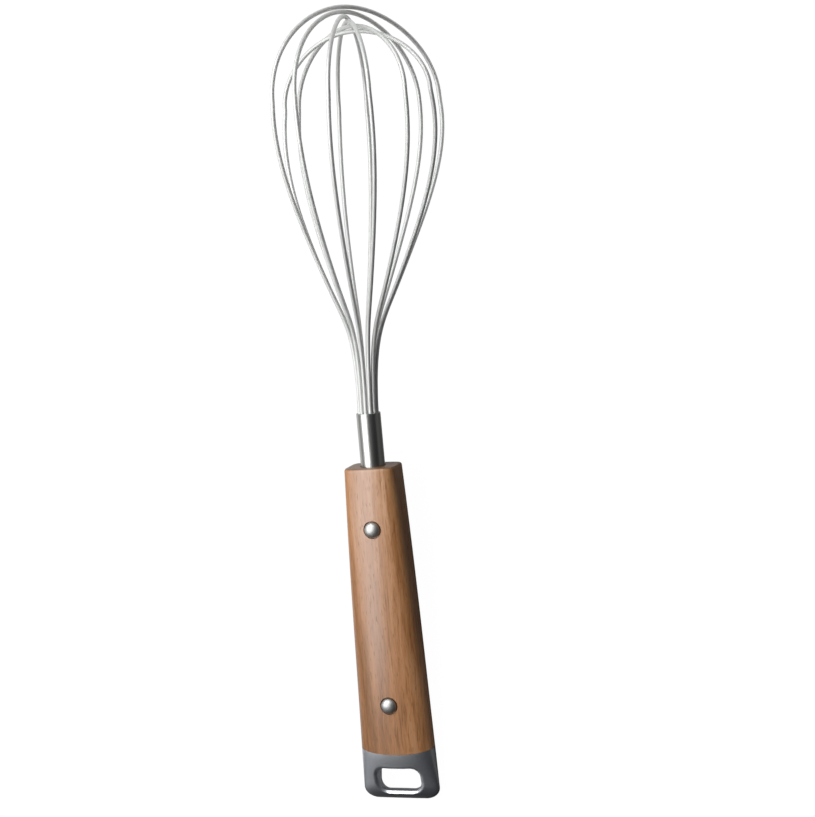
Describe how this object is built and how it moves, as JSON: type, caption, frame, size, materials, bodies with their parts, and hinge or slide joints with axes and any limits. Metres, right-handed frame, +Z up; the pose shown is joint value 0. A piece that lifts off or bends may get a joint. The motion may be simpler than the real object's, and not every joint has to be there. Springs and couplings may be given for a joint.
{
  "type": "balloon whisk",
  "caption": "Balloon whisk: bent wire loops set in a short round ferrule, a tapered wooden handle held by domed rivets, and a slotted metal end cap to hang it by.",
  "frame": {"origin": "centre of the bounding box's floor, on the surface that the whisk lies on", "axes": "+Y along the whisk towards the balloon, +Z up with the front of the handle upwards, +X to the right seen from above with the balloon away from the viewer"},
  "size_m": [0.069, 0.299, 0.0681],
  "materials": {
    "wire": "drawn bright wire",
    "ferrule": "polished tube",
    "plug": "plain turned",
    "wood": "oiled, fine lengthwise grain",
    "cap": "satin",
    "rivet": "polished dome"
  },
  "bodies": {
    "root": {"wire_loop_1": "wire", "wire_loop_2": "wire", "wire_loop_3": "wire", "wire_loop_4": "wire", "wire_loop_5": "wire", "wire_loop_6": "wire", "ferrule_tube": "ferrule", "core_plug": "plug", "handle": "wood", "end_cap": "cap", "upper_rivet_post": "rivet", "upper_rivet_socket": "rivet", "lower_rivet_post": "rivet", "lower_rivet_socket": "rivet"}
  },
  "joints": []
}
